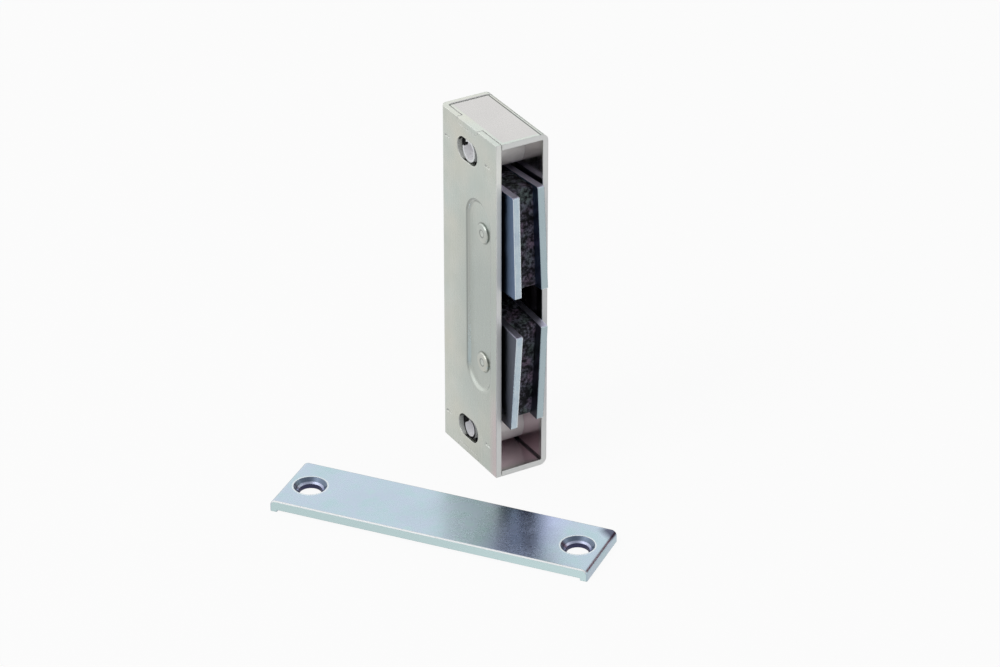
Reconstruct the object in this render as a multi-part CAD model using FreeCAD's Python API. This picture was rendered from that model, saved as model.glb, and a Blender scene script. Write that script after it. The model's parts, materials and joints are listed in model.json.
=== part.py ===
import FreeCAD, Part
import os
from math import acos, atan, cos, pi, sin, tan
from FreeCAD import Placement, Rotation, Vector

# Double magnetic catch with its strike plate, in millimetres.
# A casing folded from one sheet stands on its lower end with its open side towards -Y.
# Two packs, each a ferrite magnet between two steel pole plates, rock on rivets that cross the casing.
# The origin is the middle of the casing's lower end face. The strike plate lies flat beside the casing.

# Casing: one folded sheet
casing_height = 76.0
casing_thickness = 11.9
casing_depth = 22.4
sheet = 1.2
bend_inner_radius = 0.3
flap_back_gap = 0.5
flap_seam = 0.15
bend_relief_depth = 0.5
tab_width = 8.0
tab_clearance = 0.1
notch_corner_radius = 0.9

# Screw slots through both side walls, with a positioning mark each side
slot_width = 5.0
slot_length = 8.1
slot_behind_middle = 0.3
mark_length = 2.0
mark_width = 0.5
mark_depth = 0.2
mark_edge_distance = 3.2

# Spacer sleeves round the screws: the body keeps the side walls apart, the necks stand in the slots
sleeve_diameter = 8.9
screw_bore_diameter = 3.8
neck_slot_clearance = 0.1
neck_setback = 0.35
sleeve_bend_clearance = 0.05

# Long recess pressed inwards in each side wall, so that the rivet heads lie below the surface
recess_floor_width = 7.0
recess_border = 1.6
recess_depth = 0.65
recess_setback = 7.2
recess_overrun = 2.3

# Rivets
rivet_diameter = 3.0
rivet_hole_clearance = 0.03
rivet_head_diameter = 4.2
rivet_head_height = 0.45
rivet_head_bevel = 0.2
rivet_head_room = 0.4
rivet_dimple_diameter = 1.7
rivet_dimple_depth = 0.2

# Magnet packs
pole_thickness = 1.5
pole_depth = 14.0
pole_reach = 3.2
pole_stagger = 0.5
pole_corner_radius = 0.3
pole_running_clearance = 0.08
pack_side_clearance = 0.1
pack_gap = 7.2
upper_end_room = 0.55
lower_end_room = 2.55
magnet_front_recess = 2.7
magnet_rear_inset = 0.6
magnet_end_inset = 0.3
magnet_corner_radius = 0.5
magnet_bore_clearance = 0.3

# Rest tilts about +X in degrees: a negative tilt brings the lower end forward
upper_magnet_tilt = -3.4
upper_left_pole_tilt = -2.4
upper_right_pole_tilt = -4.4
lower_magnet_tilt = 4.8
lower_left_pole_tilt = 5.4
lower_right_pole_tilt = 4.1

# Strike plate
strike_length = 69.0
strike_width = 16.4
strike_thickness = 2.0
strike_lip_drop = 0.5
strike_lip_thickness = 1.5
strike_end_radius = 1.2
strike_edge_radius = 0.35
strike_hole_end_distance = 5.25
strike_hole_diameter = 4.6
strike_countersink_diameter = 6.9
strike_left_of_casing = 18.55
strike_front_of_casing = 10.4
strike_turn = -52.8

# Sizes that follow from the ones above
left_face = -casing_thickness / 2
right_face = casing_thickness / 2
front_edge = -casing_depth / 2
back_face = casing_depth / 2
inner_half_width = casing_thickness / 2 - sheet
bend_outer_radius = bend_inner_radius + sheet
flap_depth = casing_depth - sheet - flap_back_gap
sleeve_radius = sleeve_diameter / 2
neck_radius = slot_width / 2 - neck_slot_clearance
slot_end_distance = sheet + bend_inner_radius + sleeve_bend_clearance + sleeve_radius
slot_y = slot_behind_middle
slot_heights = (slot_end_distance, casing_height - slot_end_distance)
room_between_sleeves = casing_height - 2 * (slot_end_distance + sleeve_radius)
pole_height = (room_between_sleeves - pack_gap - upper_end_room - lower_end_room) / 2
pack_half_width = inner_half_width - recess_depth - pack_side_clearance
magnet_half_width = pack_half_width - pole_thickness
border_arc_radius = (recess_depth ** 2 + recess_border ** 2) / (4 * recess_depth)
border_half_turn = atan(recess_depth / recess_border)
rivet_radius = rivet_diameter / 2
rivet_setback = recess_setback - recess_floor_width / 2 + rivet_head_diameter / 2 + rivet_head_room
rivet_y = front_edge + rivet_setback
lower_rivet_z = slot_end_distance + sleeve_radius + lower_end_room + pole_height / 2
upper_rivet_z = lower_rivet_z + pole_height + pack_gap
along_x = Vector(1, 0, 0)
beyond = 1.0


def box(x0, x1, y0, y1, z0, z1):
    return Part.makeBox(x1 - x0, y1 - y0, z1 - z0, Vector(x0, y0, z0))


def line(start, end):
    return Part.LineSegment(start, end).toShape()


def arc(start, middle, end):
    return Part.Arc(start, middle, end).toShape()


def round_edges(solid, radius, chosen):
    # Fillets every edge for which chosen(edge) is true.
    return solid.makeFillet(radius, [edge for edge in solid.Edges if chosen(edge)])


def runs_along(edge, axis):
    ends = [vertex.Point for vertex in edge.Vertexes]
    if len(ends) < 2:
        return False
    span = ends[1] - ends[0]
    return span.Length > 0 and abs(abs(span.dot(axis)) - span.Length) < 1e-6


def rod_across(radius, length, y, z):
    # A cylinder along X, centred on the casing's middle plane.
    return Part.makeCylinder(radius, length, Vector(-length / 2, y, z), along_x)


def top_and_bottom(upper_shape):
    # The lower end of the casing mirrors its upper end.
    middle = Vector(0, 0, casing_height / 2)
    return [upper_shape, upper_shape.mirror(middle, Vector(0, 0, 1))]


def left_and_right(left_shape):
    return [left_shape, left_shape.mirror(Vector(0, 0, 0), along_x)]


def channel():
    # Left wall, back wall and right wall, with both upright bends.
    outer = box(left_face, right_face, front_edge, back_face, 0, casing_height)
    inner = box(-inner_half_width, inner_half_width, front_edge - beyond, back_face - sheet,
                -beyond, casing_height + beyond)

    def rear_upright(edge):
        return runs_along(edge, Vector(0, 0, 1)) and edge.Vertexes[0].Y > 0

    outer = round_edges(outer, bend_outer_radius, rear_upright)
    inner = round_edges(inner, bend_inner_radius, rear_upright)
    return outer.cut(inner)


def end_flap():
    # The upper end flap with its bend out of the right wall and its tab towards the left wall.
    wall_top = casing_height - bend_outer_radius
    bend_x = right_face - bend_outer_radius
    seam_x = -inner_half_width + flap_seam
    diagonal = cos(pi / 4)

    def at(x, z):
        return Vector(x, front_edge, z)

    inner_arc = arc(
        at(right_face - sheet, wall_top),
        at(bend_x + bend_inner_radius * diagonal, wall_top + bend_inner_radius * diagonal),
        at(bend_x, casing_height - sheet))
    outer_arc = arc(
        at(bend_x, casing_height),
        at(bend_x + bend_outer_radius * diagonal, wall_top + bend_outer_radius * diagonal),
        at(right_face, wall_top))
    outline = [
        inner_arc,
        line(at(bend_x, casing_height - sheet), at(seam_x, casing_height - sheet)),
        line(at(seam_x, casing_height - sheet), at(seam_x, casing_height)),
        line(at(seam_x, casing_height), at(bend_x, casing_height)),
        outer_arc,
        line(at(right_face, wall_top), at(right_face - sheet, wall_top))]
    flap = Part.Face(Part.Wire(outline)).extrude(Vector(0, flap_depth, 0))
    tab = box(left_face, seam_x + sheet, slot_y - tab_width / 2, slot_y + tab_width / 2,
              casing_height - sheet, casing_height)
    return flap.fuse(tab)


def room_for_flap():
    # What the flat blank lacks at the upper end: the bent part of the right wall and its relief slit.
    slit_front = front_edge + flap_depth
    bend = box(right_face - sheet, right_face + beyond, front_edge - beyond, slit_front + flap_back_gap,
               casing_height - bend_outer_radius, casing_height + beyond)
    relief = box(right_face - sheet - beyond, right_face + beyond, slit_front, slit_front + flap_back_gap,
                 casing_height - bend_outer_radius - bend_relief_depth, casing_height + beyond)
    return bend.fuse(relief)


def rounded_back_corner():
    # What the back wall lacks at its upper right corner, which is rounded as the flap's bend beside it.
    corner_x = right_face - bend_outer_radius
    corner_z = casing_height - bend_outer_radius
    front = front_edge + flap_depth
    rear = back_face + beyond
    corner = box(corner_x, right_face + beyond, front, rear, corner_z, casing_height + beyond)
    axis_start = Vector(corner_x, front, corner_z)
    return corner.cut(Part.makeCylinder(bend_outer_radius, rear - front, axis_start, Vector(0, 1, 0)))


def tab_notch():
    half_width = tab_width / 2 + tab_clearance
    floor_z = casing_height - sheet - tab_clearance
    notch = box(left_face - beyond, -inner_half_width + beyond, slot_y - half_width, slot_y + half_width,
                floor_z, casing_height + beyond)

    def lower_corner(edge):
        return runs_along(edge, along_x) and edge.Vertexes[0].Z < casing_height

    return round_edges(notch, notch_corner_radius, lower_corner)


def hollow_section(at):
    # Outside of the recess: an S of two equal arcs leads from the wall down to the floor.
    floor_radius = recess_floor_width / 2
    rim = floor_radius + recess_border
    swing = border_arc_radius * sin(border_half_turn)
    rise = border_arc_radius * (1 - cos(border_half_turn))
    turning = at(floor_radius + recess_border / 2, recess_depth / 2)
    return [
        line(at(0, -beyond), at(rim, -beyond)),
        line(at(rim, -beyond), at(rim, 0)),
        arc(at(rim, 0), at(rim - swing, rise), turning),
        arc(turning, at(floor_radius + swing, recess_depth - rise), at(floor_radius, recess_depth)),
        line(at(floor_radius, recess_depth), at(0, recess_depth)),
        line(at(0, recess_depth), at(0, -beyond))]


def boss_section(at):
    # Inside of the recess: a slope in place of the floor's arc outside, carried through the sheet.
    floor_radius = recess_floor_width / 2
    radius = border_arc_radius + sheet
    turn = acos(1 - recess_depth / radius)
    foot = floor_radius + radius * sin(turn)
    shoulder = floor_radius + radius * tan(turn / 4)
    root = -sheet / 2
    return [
        line(at(0, root), at(foot, root)),
        line(at(foot, root), at(foot, 0)),
        line(at(foot, 0), at(shoulder, recess_depth)),
        line(at(shoulder, recess_depth), at(0, recess_depth)),
        line(at(0, recess_depth), at(0, root))]


def recess_form(section, start_x):
    # An upright obround solid. section(at) gives the edges of its half section in radius and depth.
    first_z = lower_rivet_z - recess_overrun
    last_z = upper_rivet_z + recess_overrun
    middle_y = front_edge + recess_setback

    def half_face(side, z):
        def at(radius, depth):
            return Vector(start_x + depth, middle_y + side * radius, z)
        return Part.Face(Part.Wire(section(at)))

    straight = Vector(0, 0, last_z - first_z)
    form = half_face(1, first_z).extrude(straight).fuse(half_face(-1, first_z).extrude(straight))
    for end_z in (first_z, last_z):
        form = form.fuse(half_face(1, end_z).revolve(Vector(0, middle_y, end_z), along_x, 360))
    return form.removeSplitter()


def slot_cutter(z):
    straight = slot_length / 2 - slot_width / 2
    middle = box(left_face - beyond, right_face + beyond, slot_y - straight, slot_y + straight,
                 z - slot_width / 2, z + slot_width / 2)
    length = casing_thickness + 2 * beyond
    front = rod_across(slot_width / 2, length, slot_y - straight, z)
    rear = rod_across(slot_width / 2, length, slot_y + straight, z)
    return middle.fuse([front, rear])


def slot_marks(z):
    # Two short grooves in the left wall's outer face, in line with the slot.
    reach = casing_depth / 2 - mark_edge_distance
    return [box(left_face - beyond, left_face + mark_depth, y - mark_length / 2, y + mark_length / 2,
                z - mark_width / 2, z + mark_width / 2) for y in (slot_y - reach, slot_y + reach)]


def make_casing():
    bosses = left_and_right(recess_form(boss_section, -inner_half_width))
    cutters = left_and_right(recess_form(hollow_section, left_face))
    casing = channel()
    casing = casing.cut(top_and_bottom(room_for_flap()) + top_and_bottom(tab_notch())
                        + top_and_bottom(rounded_back_corner()))
    casing = casing.fuse(top_and_bottom(end_flap()) + bosses)
    for z in slot_heights:
        cutters.append(slot_cutter(z))
        for mark in slot_marks(z):
            cutters += left_and_right(mark)
    for z in (lower_rivet_z, upper_rivet_z):
        cutters.append(rod_across(rivet_radius + rivet_hole_clearance, casing_thickness, rivet_y, z))
    return casing.cut(cutters).removeSplitter()


def make_sleeve(z):
    # The necks end a little below the side walls' outer faces, in the middle of their slots.
    body = rod_across(sleeve_radius, 2 * inner_half_width, slot_y, z)
    necks = rod_across(neck_radius, casing_thickness - 2 * neck_setback, slot_y, z)
    bore = rod_across(screw_bore_diameter / 2, casing_thickness + 2 * beyond, slot_y, z)
    return body.fuse(necks).cut(bore).removeSplitter()


def make_rivet(z):
    # A straight shank with a flat bevelled head on each recess floor. Each head has a small dimple.
    grip = casing_thickness - 2 * recess_depth
    shank = rod_across(rivet_radius, grip + rivet_head_height, rivet_y, z)
    head = Part.makeCylinder(rivet_head_diameter / 2, rivet_head_height,
                             Vector(-grip / 2 - rivet_head_height, rivet_y, z), along_x)

    def outer_rim(edge):
        return edge.BoundBox.XMax < -grip / 2 - rivet_head_height / 2 and len(edge.Vertexes) == 1

    head = head.makeChamfer(rivet_head_bevel, [edge for edge in head.Edges if outer_rim(edge)])
    dimple = Part.makeCone(rivet_dimple_diameter / 2, 0, rivet_dimple_depth,
                           Vector(-grip / 2 - rivet_head_height, rivet_y, z), along_x)
    return shank.fuse(left_and_right(head)).cut(left_and_right(dimple)).removeSplitter()


def seat_on_rivet(piece, tilt, z):
    # Turns a piece drawn round the origin about X and moves it to its rivet.
    piece.Placement = Placement(Vector(0, rivet_y, z), Rotation(along_x, tilt))
    return piece


def pack_block(x0, x1, y0, y1, half_height, corner_radius, bore_radius, bore_y):
    block = box(x0, x1, y0, y1, -half_height, half_height)
    block = round_edges(block, corner_radius, lambda edge: runs_along(edge, along_x))
    return block.cut(rod_across(bore_radius, casing_thickness, bore_y, 0))


def make_pole_plate(side, tilt, z):
    # side is -1 for the left plate, which floats forward, and 1 for the right one, which floats back.
    shift = side * pole_stagger
    front = -rivet_setback - pole_reach + shift
    inner_x = side * magnet_half_width
    outer_x = side * pack_half_width
    bore_radius = rivet_radius + pole_stagger + pole_running_clearance
    plate = pack_block(min(inner_x, outer_x), max(inner_x, outer_x), front, front + pole_depth,
                       pole_height / 2, pole_corner_radius, bore_radius, shift)
    return seat_on_rivet(plate, tilt, z)


def make_magnet(tilt, z):
    front = -rivet_setback - pole_reach + magnet_front_recess
    rear = -rivet_setback - pole_reach + pole_depth - magnet_rear_inset
    half_height = pole_height / 2 - magnet_end_inset
    magnet = pack_block(-magnet_half_width, magnet_half_width, front, rear, half_height,
                        magnet_corner_radius, rivet_radius + magnet_bore_clearance, 0)
    return seat_on_rivet(magnet, tilt, z)


def strike_bar():
    # The plate's side outline, lips turned down at both ends, carried across its width.
    half = strike_length / 2
    top = strike_thickness + strike_lip_drop
    inner = half - strike_lip_thickness
    corners = [(-half, 0), (-inner, 0), (-inner, strike_lip_drop), (inner, strike_lip_drop), (inner, 0),
               (half, 0), (half, top), (-half, top), (-half, 0)]
    outline = Part.makePolygon([Vector(x, -strike_width / 2, z) for x, z in corners])
    return Part.Face(outline).extrude(Vector(0, strike_width, 0))


def make_strike_plate():
    top = strike_thickness + strike_lip_drop
    plate = strike_bar()

    def end_edge(edge):
        return abs(edge.Vertexes[0].Z - top) < 1e-6 and runs_along(edge, Vector(0, 1, 0))

    def side_edge(edge):
        return abs(edge.Vertexes[0].Z - top) < 1e-6 and runs_along(edge, along_x)

    plate = round_edges(plate, strike_end_radius, end_edge)
    plate = round_edges(plate, strike_edge_radius, side_edge)
    hole_x = strike_length / 2 - strike_hole_end_distance
    sink_depth = (strike_countersink_diameter - strike_hole_diameter) / 2
    for x in (-hole_x, hole_x):
        hole = Part.makeCylinder(strike_hole_diameter / 2, top + 2 * beyond, Vector(x, 0, -beyond))
        sink = Part.makeCone(strike_hole_diameter / 2, strike_countersink_diameter / 2, sink_depth,
                             Vector(x, 0, top - sink_depth))
        plate = plate.cut([hole, sink])
    centre = Vector(left_face - strike_left_of_casing, front_edge - strike_front_of_casing, 0)
    plate.Placement = Placement(centre, Rotation(Vector(0, 0, 1), strike_turn))
    return plate


def make_parts():
    parts = {"casing": make_casing(), "strike_plate": make_strike_plate()}
    for level, z in zip(("lower", "upper"), slot_heights):
        parts[level + "_spacer_sleeve"] = make_sleeve(z)
    packs = (("upper", upper_rivet_z, upper_left_pole_tilt, upper_magnet_tilt, upper_right_pole_tilt),
             ("lower", lower_rivet_z, lower_left_pole_tilt, lower_magnet_tilt, lower_right_pole_tilt))
    for level, z, left_tilt, magnet_tilt, right_tilt in packs:
        parts[level + "_rivet"] = make_rivet(z)
        parts[level + "_left_pole_plate"] = make_pole_plate(-1, left_tilt, z)
        parts[level + "_magnet"] = make_magnet(magnet_tilt, z)
        parts[level + "_right_pole_plate"] = make_pole_plate(1, right_tilt, z)
    return parts


os.makedirs("parts", exist_ok=True)
for node, shape in make_parts().items():
    solid = shape.Solids[0] if len(shape.Solids) == 1 else shape
    solid.exportStep("parts/" + node + ".step")
    print(node, len(shape.Solids), "solid", round(shape.Volume, 2), "mm3, valid", shape.isValid())
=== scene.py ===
import json
from math import cos, radians, sin

import bpy
from mathutils import Matrix, Vector


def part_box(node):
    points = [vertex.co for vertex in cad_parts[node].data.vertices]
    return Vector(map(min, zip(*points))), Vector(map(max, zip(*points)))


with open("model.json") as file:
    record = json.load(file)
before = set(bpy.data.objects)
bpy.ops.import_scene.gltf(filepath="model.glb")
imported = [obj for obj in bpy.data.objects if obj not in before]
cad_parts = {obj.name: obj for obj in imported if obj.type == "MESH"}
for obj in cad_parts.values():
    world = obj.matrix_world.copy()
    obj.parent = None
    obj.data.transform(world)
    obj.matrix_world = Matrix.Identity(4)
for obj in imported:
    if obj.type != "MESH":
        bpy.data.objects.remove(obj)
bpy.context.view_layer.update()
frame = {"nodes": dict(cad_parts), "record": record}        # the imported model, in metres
print("frame loaded:", len(frame["nodes"]), "nodes")


# Small helpers for node trees

def startMaterial(name):
    material = bpy.data.materials.new(name)
    material.use_nodes = True
    tree = material.node_tree
    return material, tree, tree.nodes["Principled BSDF"]


def addNode(tree, kind, values=None, **settings):
    node = tree.nodes.new(kind)
    for key, value in settings.items():
        setattr(node, key, value)
    for key, value in (values or {}).items():
        node.inputs[key].default_value = value
    return node


def feed(tree, socket, value):
    # a number or a colour is set on the socket, and what another node gives is linked to it
    if isinstance(value, float):
        socket.default_value = value
    elif isinstance(value, tuple):
        socket.default_value = (*value, 1)
    else:
        tree.links.new(value, socket)


def arithmetic(tree, operation, first, second):
    node = addNode(tree, "ShaderNodeMath", operation=operation)
    feed(tree, node.inputs[0], first)
    feed(tree, node.inputs[1], second)
    return node.outputs["Value"]


def vectorMath(tree, operation, first, second=None):
    # first comes from a node, second may also be a fixed vector or left out
    node = addNode(tree, "ShaderNodeVectorMath", operation=operation)
    tree.links.new(first, node.inputs[0])
    if isinstance(second, bpy.types.NodeSocket):
        tree.links.new(second, node.inputs[1])
    elif second is not None:
        node.inputs[1].default_value = second
    return node.outputs["Value" if operation in ("DOT_PRODUCT", "LENGTH") else "Vector"]


def noise(tree, coords, perMetre, detail=3.0, coarse=0.5, stretch=(1, 1, 1)):
    # perMetre is the number of noise cells in a metre, and stretch draws them out along an axis
    mapping = addNode(tree, "ShaderNodeMapping", {"Scale": [perMetre / s for s in stretch]})
    tree.links.new(coords, mapping.inputs["Vector"])
    texture = addNode(tree, "ShaderNodeTexNoise", {"Scale": 1.0, "Detail": detail, "Roughness": coarse})
    tree.links.new(mapping.outputs["Vector"], texture.inputs["Vector"])
    return texture.outputs["Fac"]


def spread(tree, value, low, high, fromLow=0.3, fromHigh=0.7):
    # moves fromLow to low and fromHigh to high, where 0.3 to 0.7 is what noise mostly gives
    node = addNode(tree, "ShaderNodeMapRange",
                   {"From Min": fromLow, "From Max": fromHigh, "To Min": low, "To Max": high})
    tree.links.new(value, node.inputs["Value"])
    return node.outputs["Result"]


def mixValues(tree, amount, first, second):
    node = addNode(tree, "ShaderNodeMapRange")
    for name, value in (("Value", amount), ("To Min", first), ("To Max", second)):
        feed(tree, node.inputs[name], value)
    return node.outputs["Result"]


def mixColours(tree, amount, first, second):
    node = addNode(tree, "ShaderNodeMix", data_type="RGBA")
    for name, kind, value in (("Factor", "VALUE", amount), ("A", "RGBA", first), ("B", "RGBA", second)):
        feed(tree, next(s for s in node.inputs if s.name == name and s.type == kind), value)
    return next(s for s in node.outputs if s.type == "RGBA")


def colourRamp(tree, value, stops):
    node = addNode(tree, "ShaderNodeValToRGB")
    ramp = node.color_ramp
    while len(ramp.elements) < len(stops):
        ramp.elements.new(0.5)
    for element, (place, colour) in zip(ramp.elements, stops):
        element.position = place
        element.color = (*colour, 1)
    tree.links.new(value, node.inputs["Fac"])
    return node.outputs["Color"]


def objectCoords(tree):
    return addNode(tree, "ShaderNodeTexCoord").outputs["Object"]


def bump(tree, height, depth, normal):
    node = addNode(tree, "ShaderNodeBump", {"Strength": 1.0, "Distance": depth})
    tree.links.new(height, node.inputs["Height"])
    tree.links.new(normal, node.inputs["Normal"])
    return node.outputs["Normal"]


def softEdges(tree, radius):
    # the rounding that a plated or broken edge has, too small to model
    return addNode(tree, "ShaderNodeBevel", {"Radius": radius}, samples=6).outputs["Normal"]


def edgeMask(tree, rounded, gain):
    # 1 on rounded edges, where wear and a painted highlight go, 0 on flats
    flat = addNode(tree, "ShaderNodeNewGeometry").outputs["Normal"]
    away = arithmetic(tree, "SUBTRACT", 1.0, vectorMath(tree, "DOT_PRODUCT", rounded, flat))
    node = addNode(tree, "ShaderNodeMath", {1: gain}, operation="MULTIPLY", use_clamp=True)
    tree.links.new(away, node.inputs[0])
    return node.outputs["Value"]


# Where a finish lies

def facing(tree, axis, low, high):
    # 0 to 1 as a surface turns to look along the axis
    normal = addNode(tree, "ShaderNodeNewGeometry").outputs["True Normal"]
    return spread(tree, vectorMath(tree, "DOT_PRODUCT", normal, axis), 0.0, 1.0, low, high)


def nearLine(tree, coords, point, axis, radius, soft):
    # 1 within the radius of a line, 0 beyond the soft rim
    offAxis = vectorMath(tree, "CROSS_PRODUCT", vectorMath(tree, "SUBTRACT", coords, point), axis)
    return spread(tree, vectorMath(tree, "LENGTH", offAxis), 1.0, 0.0, radius, radius + soft)


def insideBox(tree, coords, centre, half, fade):
    # 1 well inside the box, falling to 0 at its faces over the fade distance
    away = vectorMath(tree, "ABSOLUTE", vectorMath(tree, "SUBTRACT", coords, centre))
    split = addNode(tree, "ShaderNodeSeparateXYZ")
    tree.links.new(away, split.inputs[0])
    amount = 1.0
    for output, reach, soft in zip(split.outputs, half, fade):
        amount = arithmetic(tree, "MULTIPLY", spread(tree, output, 1.0, 0.0, reach - soft, reach), amount)
    return amount


def patchAmount(tree, coords, patch):
    # a patch lies on faces that look one way, in a box, round a line, or where these meet
    amount = 1.0
    if "faces" in patch:
        amount = arithmetic(tree, "MULTIPLY", facing(tree, patch["faces"], *patch["turn"]), amount)
    if "half" in patch:
        inside = insideBox(tree, coords, patch["centre"], patch["half"], patch["fade"])
        amount = arithmetic(tree, "MULTIPLY", inside, amount)
    if "radius" in patch:
        near = nearLine(tree, coords, patch["point"], patch["along"], patch["radius"], patch["soft"])
        amount = arithmetic(tree, "MULTIPLY", near, amount)
    return amount


# Plated steel: blotchy plating, rolling grain, faint peel, edges lighter for wear and a painted highlight,
# and patches of other finish and of painted light and shade

def platedMetal(name, look):
    material, tree, shader = startMaterial(name)
    coords = objectCoords(tree)
    blotches = noise(tree, coords, look["blotchPerMetre"], detail=4.0, coarse=0.6)
    grain = noise(tree, coords, look["grainPerMetre"], detail=2.0, stretch=look["grainStretch"])
    peel = noise(tree, coords, look["peelPerMetre"], detail=2.0)
    smudge = noise(tree, coords, look["smudgePerMetre"], detail=3.0)
    rounded = softEdges(tree, look["edgeRadius"])
    colour = colourRamp(tree, blotches, look["plating"])
    if "clouds" in look:
        clouds = noise(tree, coords, look["cloudsPerMetre"], detail=2.0)
        for cloudColour, low, high in look["clouds"]:
            amount = spread(tree, clouds, 0.0, look["cloudAmount"], low, high)
            colour = mixColours(tree, amount, colour, cloudColour)
    streaks = spread(tree, grain, 0.0, look["streakAmount"])
    colour = mixColours(tree, streaks, colour, look["streakColour"])
    rough = arithmetic(tree, "ADD", spread(tree, smudge, *look["roughness"]),
                       spread(tree, grain, -look["grainRoughness"], look["grainRoughness"]))
    metal = look.get("metallic", 1.0)
    shine = 0.5        # the shader's own level, unless a patch changes it
    # the edge colour is wear and a painted highlight
    amounts = [edgeMask(tree, rounded, look["edgeGain"])]
    amounts += [patchAmount(tree, coords, patch) for patch in look["patches"]]
    for amount, patch in zip(amounts, [look["edges"]] + look["patches"]):
        colour = mixColours(tree, amount, colour, patch["colour"])
        if "rougher" in patch:
            rough = arithmetic(tree, "ADD", rough, arithmetic(tree, "MULTIPLY", amount, patch["rougher"]))
        if "metallic" in patch:
            metal = mixValues(tree, amount, metal, patch["metallic"])
        if "shine" in patch:
            shine = mixValues(tree, amount, shine, patch["shine"])
    feed(tree, shader.inputs["Base Color"], colour)
    feed(tree, shader.inputs["Roughness"], rough)
    feed(tree, shader.inputs["Metallic"], metal)
    feed(tree, shader.inputs["Specular IOR Level"], shine)
    normal = bump(tree, peel, look["peelDepth"], rounded)
    feed(tree, shader.inputs["Normal"], bump(tree, grain, look["grainDepth"], normal))
    return material


def dress(material, *nodeNames):
    for nodeName in nodeNames:
        node = frame["nodes"][nodeName]
        node.data.materials.clear()
        node.data.materials.append(material)


# Directions and places that the patches share

across = (1.0, 0.0, 0.0)
leftward = (-1.0, 0.0, 0.0)
forward = (0.0, -1.0, 0.0)
upward = (0.0, 0.0, 1.0)
squarely = (0.90, 0.98)       # faces that look nearly straight along an axis
roughly = (0.6, 0.9)          # faces that look more along it than not
crisp = (0.0001,) * 3         # the fade of a patch with sharp borders
thin = 0.00008                # the fade of a thin rim or a round patch

casingLow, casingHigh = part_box("casing")
casingFront, casingFoot, casingTop = casingLow[1], casingLow[2], casingHigh[2]
wallMiddle = 0.0054           # about the middle of a side wall's thickness, from the casing's middle
wallFace = 0.0060             # about its outer face
rivetPoints = [Vector(joint["pos_m"]) for joint in frame["record"]["behaviour"]["joints"]]
recessHeight = sum(point.z for point in rivetPoints) / len(rivetPoints)
sleeveNames = ("lower_spacer_sleeve", "upper_spacer_sleeve")
sleeveMiddles = [(Vector(low) + Vector(high)) / 2 for low, high in map(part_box, sleeveNames)]


# Casing: semi-bright nickel on rolled sheet, cut edges rough, painted shade inside

casingLook = {
    "plating": [(0.30, (0.51, 0.55, 0.50)), (0.50, (0.56, 0.59, 0.54)), (0.70, (0.61, 0.62, 0.57))],
    "clouds": [((0.47, 0.58, 0.57), 0.50, 0.70), ((0.62, 0.60, 0.51), 0.50, 0.32)],
    "cloudsPerMetre": 60, "cloudAmount": 0.6,
    "streakColour": (0.65, 0.66, 0.61), "streakAmount": 0.35,
    # edge colour: wear, and a painted highlight
    "edges": {"colour": (0.95, 0.96, 0.93), "metallic": 0.4}, "edgeGain": 3.0, "edgeRadius": 0.0003,
    "blotchPerMetre": 160, "smudgePerMetre": 90, "peelPerMetre": 1400, "peelDepth": 0.000004,
    "grainPerMetre": 3200, "grainStretch": (1, 1, 40), "grainDepth": 0.0000014, "grainRoughness": 0.05,
    "roughness": (0.22, 0.34),
    "patches": [
        # darker middle of the walls, and the pinkish lower front corner of the left one
        {"centre": (0.0, -0.0050, 0.0350), "half": (0.0070, 0.0120, 0.0300),
         "fade": (0.0001, 0.0080, 0.0200), "colour": (0.46, 0.50, 0.47)},
        {"centre": (-0.0058, -0.0106, 0.0060), "half": (0.0012, 0.0024, 0.0150),
         "fade": (0.0001, 0.0020, 0.0080), "colour": (0.60, 0.53, 0.53)},
        # inside: painted shade behind the packs, and lighter, pinkish and smoother in the lower and the
        # upper mouth, partly painted light
        {"centre": (0.0, -0.0006, 0.0380), "half": (0.0050, 0.0109, 0.0240),
         "fade": (0.0002, 0.0010, 0.0030), "colour": (0.05, 0.045, 0.05)},
        {"centre": (0.0, -0.0006, 0.0062), "half": (0.0050, 0.0109, 0.0058),
         "fade": (0.0002, 0.0020, 0.0006), "colour": (0.72, 0.61, 0.65), "rougher": -0.1},
        {"centre": (0.0, -0.0006, 0.0688), "half": (0.0050, 0.0109, 0.0062),
         "fade": (0.0002, 0.0020, 0.0006), "colour": (0.70, 0.67, 0.67), "rougher": -0.12},
        # painted shade in the creases along the flaps' bends, outside at both ends and inside at the foot
        *({"centre": (0.0043, -0.0008, height), "half": (0.0002, 0.0104, 0.0002),
           "fade": crisp, "colour": (0.12, 0.12, 0.12)} for height in (casingTop, casingFoot)),
        {"centre": (0.0046, -0.0008, 0.0014), "half": (0.0003, 0.0104, 0.0005),
         "fade": (0.0002, 0.0004, 0.0002), "colour": (0.08, 0.07, 0.08)},
        # front edges
        {"faces": forward, "turn": squarely, "colour": (0.80, 0.81, 0.80), "rougher": 0.1, "metallic": 0.25},
        # outer face of the upper flap
        {"centre": (0.0, 0.0, casingTop), "half": (0.0041, 0.0105, 0.0006), "fade": (0.0001, 0.0002, 0.0002),
         "faces": upward, "turn": (0.92, 0.99), "colour": (0.55, 0.54, 0.53)},
        # painted shade on the rounded back corner and other faces that look the same way
        {"faces": (-0.94, 0.34, 0.0), "turn": (0.985, 0.998), "colour": (0.42, 0.45, 0.42)}]}
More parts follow.
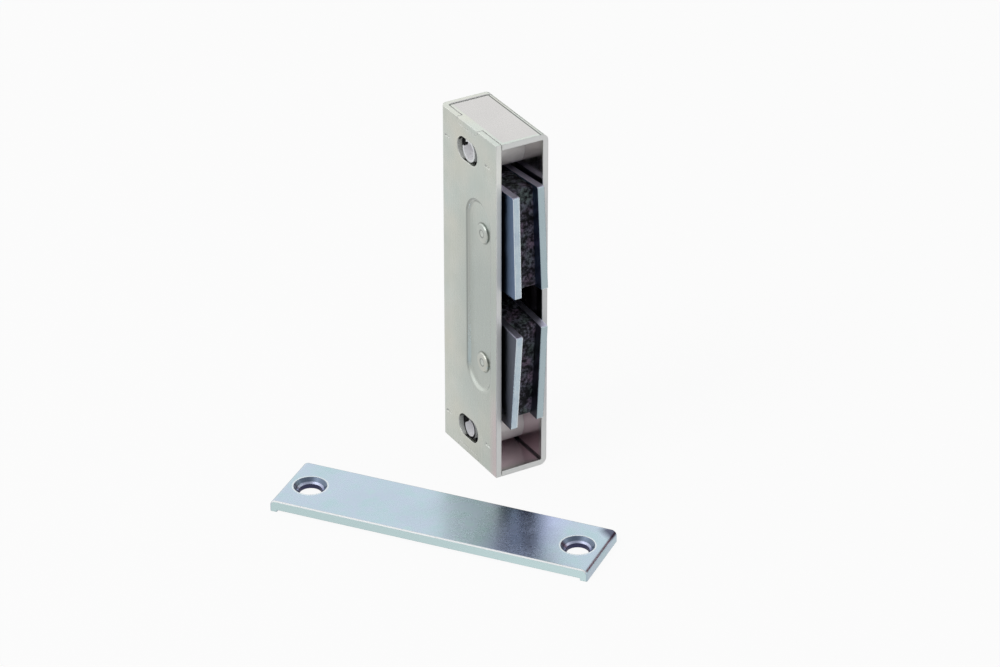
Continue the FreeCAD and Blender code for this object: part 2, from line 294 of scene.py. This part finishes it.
for side in (-1, 1):
    casingLook["patches"] += [
        # painted shade on the border of each recess, darkest at its upper rim
        {"centre": (side * wallFace, -0.0040, recessHeight), "half": (0.0008, 0.0060, 0.0245), "fade": crisp,
         "faces": (0.0, -0.75, -0.66), "turn": (0.32, 0.50), "colour": (0.47, 0.49, 0.46)},
        {"centre": (side * wallFace, -0.0040, recessHeight), "half": (0.00024, 0.0060, 0.0245),
         "fade": (thin,) * 3,
         "faces": (0.0, -0.75, -0.66), "turn": (0.10, 0.22), "colour": (0.34, 0.36, 0.34)},
        # a thin painted shade along its front lip
        {"centre": (side * wallFace, -0.0070, recessHeight), "half": (0.0008, 0.0026, 0.0182), "fade": crisp,
         "faces": (side * 0.94, 0.34, 0.0), "turn": (0.955, 0.975), "colour": (0.43, 0.45, 0.43)}]
    casingLook["patches"] += [        # painted light on the walls of the screw slots
        {"centre": middle + Vector((side * wallMiddle, 0.0, 0.0)), "half": (0.0009, 0.0046, 0.0028),
         "fade": crisp, "faces": (0.0, -0.86, 0.50), "turn": (0.50, 0.75),
         "colour": (0.86, 0.88, 0.85), "metallic": 0.2} for middle in sleeveMiddles]
casingLook["patches"] += [
    # front edges: the left wall's lighter above, the right wall's darker
    {"centre": (-wallMiddle, casingFront, 0.0620), "half": (0.0009, 0.0010, 0.0200),
     "fade": (0.0001, 0.0001, 0.0120), "faces": forward, "turn": squarely, "colour": (0.95, 0.97, 0.92)},
    {"centre": (wallMiddle, casingFront, 0.0350), "half": (0.0009, 0.0010, 0.0300),
     "fade": (0.0001, 0.0001, 0.0100), "faces": forward, "turn": squarely, "colour": (0.70, 0.71, 0.71)}]
casingLook["patches"] += [            # painted shade round each rivet head
    {"point": point, "along": across, "radius": 0.00225, "soft": 0.0002, "colour": (0.30, 0.32, 0.30)}
    for point in rivetPoints]


# Rivets: the casing's nickel, with no patches but painted shade in the ring of the dimple and its brighter
# middle

rivetLook = {
    **casingLook,
    "plating": [(0.30, (0.46, 0.49, 0.45)), (0.70, (0.58, 0.60, 0.56))],
    "grainStretch": (1, 1, 1), "edgeRadius": 0.0001, "roughness": (0.30, 0.42),
    "patches": []}
for point in rivetPoints:
    rivetLook["patches"] += [
        {"point": point, "along": across, "radius": 0.00088, "soft": thin, "colour": (0.30, 0.32, 0.30)},
        {"point": point, "along": across, "radius": 0.00060, "soft": thin, "colour": (0.60, 0.63, 0.59)}]


# Sleeves: matt turned steel, with painted light on the necks and in the bore and painted shade on the
# shoulders

sleeveLook = {
    "plating": [(0.30, (0.86, 0.83, 0.81)), (0.70, (0.95, 0.92, 0.90))],
    "streakColour": (0.95, 0.93, 0.92), "streakAmount": 0.4,
    "edges": {"colour": (0.88, 0.88, 0.90)}, "edgeGain": 3.0, "edgeRadius": 0.00012,
    "blotchPerMetre": 600, "smudgePerMetre": 300, "peelPerMetre": 2400, "peelDepth": 0.00001,
    "grainPerMetre": 3200, "grainStretch": (30, 1, 1), "grainDepth": 0.000002, "grainRoughness": 0.05,
    "roughness": (0.36, 0.48), "metallic": 0.15,
    "patches": []}
for middle in sleeveMiddles:
    # painted shade on the shoulders, which stand against the walls: the upper sleeve's come last and also
    # cover the lower neck's ends
    sleeveLook["patches"] += [
        {"faces": way, "turn": roughly, "colour": (0.02, 0.02, 0.022), "metallic": 0.0, "shine": 0.0}
        for way in (leftward, across)]
    sleeveLook["patches"] += [
        # painted light on the neck and in the bore
        {"point": middle, "along": across, "radius": 0.00242, "soft": thin,
         "colour": (0.80, 0.82, 0.84), "metallic": 0.2, "shine": 0.5},
        {"point": middle, "along": across, "radius": 0.00192, "soft": thin,
         "colour": (0.98, 0.98, 1.00), "metallic": 0.1},
        # painted shadow on the left neck's upper rear corner
        {"centre": middle + Vector((-0.0055, 0.0020, 0.0014)), "half": (0.0008, 0.0010, 0.0012),
         "fade": (0.0001, 0.0002, 0.0003), "colour": (0.02, 0.02, 0.02), "metallic": 0.0, "shine": 0.0}]


# Pole plates: bright bluish zinc

poleLook = {
    "plating": [(0.30, (0.33, 0.41, 0.50)), (0.50, (0.40, 0.49, 0.56)), (0.70, (0.47, 0.55, 0.60))],
    "streakColour": (0.60, 0.66, 0.70), "streakAmount": 0.4,
    # edge colour: wear, and a painted highlight
    "edges": {"colour": (0.93, 0.98, 1.00)}, "edgeGain": 5.0, "edgeRadius": 0.0004,
    "blotchPerMetre": 300, "smudgePerMetre": 200, "peelPerMetre": 1800, "peelDepth": 0.000004,
    "grainPerMetre": 3600, "grainStretch": (1, 1, 14), "grainDepth": 0.000003, "grainRoughness": 0.05,
    "roughness": (0.20, 0.32),
    "patches": [
        # sides in painted shade, greyer on the left of the lower pack
        *({"faces": way, "turn": roughly, "colour": (0.13, 0.19, 0.31), "rougher": 0.1}
          for way in (leftward, across)),
        {"centre": (0.0, -0.0100, 0.0240), "half": (0.0060, 0.0100, 0.0140),
         "fade": (0.0001, 0.0001, 0.0020),
         "faces": leftward, "turn": roughly, "colour": (0.115, 0.125, 0.160)},
        # darker front edges of the right plates
        {"centre": (0.0040, -0.0100, 0.0380), "half": (0.0030, 0.0120, 0.0380), "fade": crisp,
         "faces": forward, "turn": squarely, "colour": (0.36, 0.44, 0.47)},
        # upper ends, rougher, with painted light
        {"faces": upward, "turn": roughly, "colour": (0.72, 0.70, 0.86), "rougher": 0.15}]}


# Strike plate: the same zinc, bluer, with countersunk holes

strikeHoles = next(m for m in frame["record"]["mounts"] if m["name"] == "strike_plate_holes")
holesMiddle = Vector(strikeHoles["pos_m"])
holeReach = strikeHoles["dims"]["pcd_mm"] / 2000      # half the holes' distance, in metres
strikeTurn = radians(-52.8)                           # the plate's long axis, from +X
strikeLong = Vector((cos(strikeTurn), sin(strikeTurn), 0))
strikeBack = Vector((-sin(strikeTurn), cos(strikeTurn), 0))
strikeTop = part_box("strike_plate")[1][2]
strikeMiddle = Vector((holesMiddle.x, holesMiddle.y, strikeTop))
edgeTurn = (0.76, 0.86)       # the rounded long edges, where the painted highlight and shade go, look between upward and sideways
strikeLook = {
    "plating": [(0.30, (0.38, 0.52, 0.56)), (0.45, (0.41, 0.52, 0.59)), (0.58, (0.43, 0.51, 0.61)),
                (0.72, (0.41, 0.55, 0.59))],
    "streakColour": (0.54, 0.61, 0.68), "streakAmount": 0.2,
    "edges": {"colour": (0.60, 0.68, 0.72)}, "edgeGain": 2.0, "edgeRadius": 0.0002,
    "blotchPerMetre": 260, "smudgePerMetre": 130, "peelPerMetre": 1500, "peelDepth": 0.000005,
    "grainPerMetre": 4200, "grainStretch": (2, 2, 1), "grainDepth": 0.000002, "grainRoughness": 0.03,
    "roughness": (0.23, 0.32),
    "patches": [
        # a violet bloom across the plate, and painted shade on the back corner
        {"point": strikeMiddle + 0.018 * strikeLong, "along": strikeBack, "radius": 0.003, "soft": 0.005,
         "colour": (0.46, 0.52, 0.72)},
        {"centre": strikeMiddle + 0.0340 * strikeLong + 0.0076 * strikeBack,
         "half": (0.0030, 0.0028, 0.0010), "fade": (0.0018, 0.0018, 0.0004), "colour": (0.09, 0.10, 0.15)},
        # the long edges, with a painted highlight in front and painted shade behind, and the front face
        {"faces": (Vector(upward) - strikeBack).normalized(), "turn": edgeTurn,
         "colour": (0.97, 0.99, 1.0), "rougher": 0.2, "metallic": 0.2},
        {"faces": (Vector(upward) + strikeBack).normalized(), "turn": edgeTurn,
         "colour": (0.10, 0.12, 0.15)},
        {"faces": -strikeBack, "turn": (0.92, 0.98), "colour": (0.60, 0.76, 0.77)}]}
for side in (-1, 1):
    hole = {"point": holesMiddle + side * holeReach * strikeLong, "along": upward, "soft": thin}
    strikeLook["patches"] += [        # painted highlight on the rim, painted shade in the countersink, a pale ring at its foot, painted shade in the bore
        {**hole, "radius": 0.00372, "colour": (0.78, 0.86, 0.90), "metallic": 0.4},
        {**hole, "radius": 0.00342, "colour": (0.16, 0.20, 0.27), "metallic": 1.0},
        {**hole, "radius": 0.00270, "colour": (0.50, 0.53, 0.68)},
        {**hole, "radius": 0.00234, "colour": (0.06, 0.06, 0.12), "rougher": 0.2}]

dress(platedMetal("casingNickel", casingLook), "casing")
dress(platedMetal("sleeveSteel", sleeveLook), *sleeveNames)
dress(platedMetal("rivetNickel", rivetLook), "lower_rivet", "upper_rivet")
dress(platedMetal("poleZinc", poleLook), *(name for name in frame["nodes"] if name.endswith("pole_plate")))
dress(platedMetal("strikeZinc", strikeLook), "strike_plate")
print("plated steel done")


# Magnets: rough black ferrite with chipped grains, and faintly coloured pale flecks that are partly painted
# glints

ferriteLook = {
    "dark": (0.003, 0.003, 0.005), "paleFrom": (0.44, 0.62), "chipContrast": (0.78, 1.20),
    "tints": [(0.35, (0.130, 0.165, 0.160)), (0.50, (0.170, 0.170, 0.220)), (0.65, (0.215, 0.160, 0.225))],
    "tintPerMetre": 320, "grainPerMetre": 1300, "chipPerMetre": 420, "chipDepth": 0.00012,
    "pitPerMetre": 3000, "pitDepth": 0.00003, "edgeRadius": 0.00025,
    "roughness": (0.75, 0.40), "shine": 0.15}


def ferrite(look):
    material, tree, shader = startMaterial("magnetFerrite")
    coords = objectCoords(tree)
    grains = noise(tree, coords, look["grainPerMetre"], detail=8.0, coarse=0.75)
    chips = noise(tree, coords, look["chipPerMetre"], detail=4.0, coarse=0.6)
    pits = noise(tree, coords, look["pitPerMetre"], detail=3.0)
    tints = noise(tree, coords, look["tintPerMetre"], detail=1.0)
    # the pale flecks' colours, partly painted glints
    lit = colourRamp(tree, tints, look["tints"])
    mottled = arithmetic(tree, "MULTIPLY", grains, spread(tree, chips, *look["chipContrast"]))
    pale = spread(tree, mottled, 0.0, 1.0, *look["paleFrom"])
    feed(tree, shader.inputs["Base Color"], mixColours(tree, pale, look["dark"], lit))
    feed(tree, shader.inputs["Roughness"], spread(tree, grains, *look["roughness"]))
    feed(tree, shader.inputs["Specular IOR Level"], look["shine"])
    normal = bump(tree, chips, look["chipDepth"], softEdges(tree, look["edgeRadius"]))
    feed(tree, shader.inputs["Normal"], bump(tree, pits, look["pitDepth"], normal))
    return material


dress(ferrite(ferriteLook), "lower_magnet", "upper_magnet")
print("magnets done")


# Camera, solved from the photograph: azimuth 0 looks along +Y

cameraLook = {"azimuth": -30.156, "elevation": 29.379, "distance": 0.8021, "aim": (-0.00595, -0.0112, 0.038),
              "slideRight": 0.000755, "slideUp": -0.003457, "lens": 144.0, "sensor": 36.0, "nearest": 0.01}


def addCamera(look):
    turn, rise = radians(look["azimuth"]), radians(look["elevation"])
    back = Vector((sin(turn) * cos(rise), -cos(turn) * cos(rise), sin(rise)))
    right = Vector((cos(turn), sin(turn), 0))
    up = back.cross(right)
    place = Vector(look["aim"]) + back * look["distance"] + right * look["slideRight"] + up * look["slideUp"]
    camera = bpy.data.objects.new("camera", bpy.data.cameras.new("camera"))
    camera.matrix_world = Matrix.Translation(place) @ Matrix((right, up, back)).transposed().to_4x4()
    camera.data.lens = look["lens"]
    camera.data.sensor_width = look["sensor"]
    camera.data.clip_start = look["nearest"]
    bpy.context.scene.collection.objects.link(camera)
    bpy.context.scene.camera = camera


addCamera(cameraLook)
print("camera placed")


# Studio: white floor and surroundings, a soft panel on the left, and darker parts of the room

studioLook = {
    "floorSize": 6.0, "floorColour": (0.86, 0.86, 0.86), "floorRoughness": 0.9, "seenWhite": 0.92,
    "floorSlope": (0.17, 0.04, 0.0), "floorMean": 0.99, "worldFill": 0.55, "roomWhite": 1.22,
    "panels": [
        {"name": "keyPanel", "place": (-1.05, -0.10, 1.10), "size": 0.60, "power": 4.5}],
    "darkParts": [        # where gloss sees no white: direction, inner and outer half angle in degrees
        {"toward": (-0.437, -0.757, 0.485), "inner": 20, "outer": 42, "colour": (0.04, 0.045, 0.065)},
        {"toward": (0.0, -0.20, 1.0), "inner": 36, "outer": 50, "colour": (0.45, 0.47, 0.50)},
        {"toward": (1.0, 0.03, 0.14), "inner": 12, "outer": 26, "colour": (0.22, 0.05, 0.07)},
        {"toward": (0.66, 0.75, 0.06), "inner": 5, "outer": 11, "colour": (0.10, 0.10, 0.10)}]}


def seenRays(tree):
    # 1 for what the camera, gloss or clear material sees
    path = addNode(tree, "ShaderNodeLightPath")
    seen = arithmetic(tree, "MAXIMUM", path.outputs["Is Camera Ray"], path.outputs["Is Glossy Ray"])
    return arithmetic(tree, "MAXIMUM", seen, path.outputs["Is Transmission Ray"])


def floorGlow(tree, look):
    # plain white to the eye, while gloss sees it brighter on the side away from the strike plate
    flat = vectorMath(tree, "MULTIPLY", objectCoords(tree), (1, 1, 0))
    outward = vectorMath(tree, "NORMALIZE", flat)
    slope = vectorMath(tree, "DOT_PRODUCT", outward, look["floorSlope"])
    uneven = arithmetic(tree, "ADD", slope, look["floorMean"] - 1.0)
    glossy = addNode(tree, "ShaderNodeLightPath").outputs["Is Glossy Ray"]
    return arithmetic(tree, "ADD", arithmetic(tree, "MULTIPLY", uneven, glossy), 1.0)


def addFloor(look):
    half = look["floorSize"] / 2
    corners = [(-half, -half, 0), (half, -half, 0), (half, half, 0), (-half, half, 0)]
    mesh = bpy.data.meshes.new("floor")
    mesh.from_pydata(corners, [], [(0, 1, 2, 3)])
    floor = bpy.data.objects.new("floor", mesh)
    bpy.context.scene.collection.objects.link(floor)
    material, tree, shader = startMaterial("floorWhite")
    feed(tree, shader.inputs["Base Color"], look["floorColour"])
    feed(tree, shader.inputs["Roughness"], look["floorRoughness"])
    feed(tree, shader.inputs["Specular IOR Level"], 0.0)
    glow = addNode(tree, "ShaderNodeEmission", {"Color": (1, 1, 1, 1)})
    feed(tree, glow.inputs["Strength"], floorGlow(tree, look))
    blend = addNode(tree, "ShaderNodeMixShader")
    feed(tree, blend.inputs["Fac"], arithmetic(tree, "MULTIPLY", seenRays(tree), look["seenWhite"]))
    feed(tree, blend.inputs[1], shader.outputs["BSDF"])
    feed(tree, blend.inputs[2], glow.outputs["Emission"])
    feed(tree, tree.nodes["Material Output"].inputs["Surface"], blend.outputs["Shader"])
    mesh.materials.append(material)


def addWorld(look):
    world = bpy.data.worlds.new("studio")
    bpy.context.scene.world = world
    world.use_nodes = True
    tree = world.node_tree
    background = tree.nodes["Background"]
    direction = addNode(tree, "ShaderNodeTexCoord").outputs["Generated"]
    room = (look["roomWhite"],) * 3
    for part in look["darkParts"]:
        towards = vectorMath(tree, "DOT_PRODUCT", direction, Vector(part["toward"]).normalized())
        limits = {"From Min": cos(radians(part["outer"])), "From Max": cos(radians(part["inner"]))}
        near = addNode(tree, "ShaderNodeMapRange", limits, interpolation_type="SMOOTHSTEP")
        tree.links.new(towards, near.inputs["Value"])
        room = mixColours(tree, near.outputs["Result"], room, part["colour"])
    path = addNode(tree, "ShaderNodeLightPath")
    lit = mixColours(tree, path.outputs["Is Glossy Ray"], (look["worldFill"],) * 3, room)
    clear = arithmetic(tree, "MAXIMUM", path.outputs["Is Camera Ray"], path.outputs["Is Transmission Ray"])
    feed(tree, background.inputs["Color"], mixColours(tree, clear, lit, (1.0, 1.0, 1.0)))
    feed(tree, background.inputs["Strength"], 1.0)


def addPanel(name, place, size, power):
    panel = bpy.data.objects.new(name, bpy.data.lights.new(name, "AREA"))
    panel.data.shape = "SQUARE"
    panel.data.size = size
    panel.data.energy = power
    panel.location = place
    panel.rotation_euler = Vector(place).to_track_quat("Z", "Y").to_euler()
    bpy.context.scene.collection.objects.link(panel)


addFloor(studioLook)
addWorld(studioLook)
for panelLook in studioLook["panels"]:
    addPanel(**panelLook)
bpy.context.scene.view_settings.view_transform = "Standard"
print("studio done")
